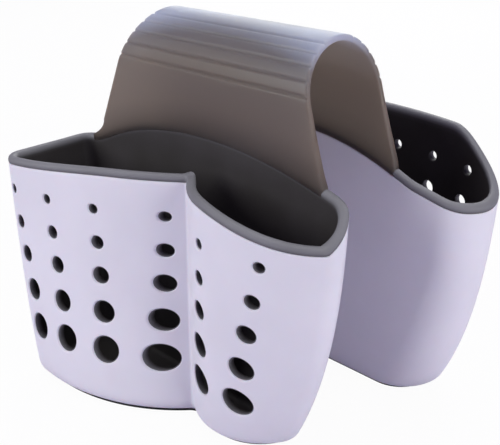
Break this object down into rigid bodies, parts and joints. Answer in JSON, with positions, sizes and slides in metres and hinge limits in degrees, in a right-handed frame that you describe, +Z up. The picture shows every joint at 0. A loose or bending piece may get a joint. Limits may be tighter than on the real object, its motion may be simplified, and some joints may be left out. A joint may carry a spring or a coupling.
{
  "type": "sponge holder",
  "caption": "Saddle sponge holder: a pair of drained baskets with soft grey liners, joined by a flexible arched strap that hangs over a sink divider.",
  "frame": {"origin": "on the floor, midway between the two baskets and midway along the whole length", "axes": "+Z up, +X along the baskets' length towards the picture's near end, +Y from the front basket to the back basket"},
  "size_m": [0.1824, 0.1374, 0.1665],
  "materials": {
    "shell": "soft gloss",
    "liner": "matt",
    "pad": "matt",
    "strap": "satin"
  },
  "bodies": {
    "front_basket": {"front_shell": "shell", "front_liner": "liner", "front_base_pad": "pad", "saddle_strap": "strap"},
    "back_basket": {"back_shell": "shell", "back_liner": "liner", "back_base_pad": "pad"}
  },
  "joints": [
    {"name": "saddle_flex", "type": "hinge", "parent": "front_basket", "child": "back_basket", "pos_m": [0, 0, 0.165], "axis": [1, 0, 0], "range_deg": [-15, 60], "stiffness_Nm_per_rad": 0.8, "deforming": ["saddle_strap"]}
  ]
}
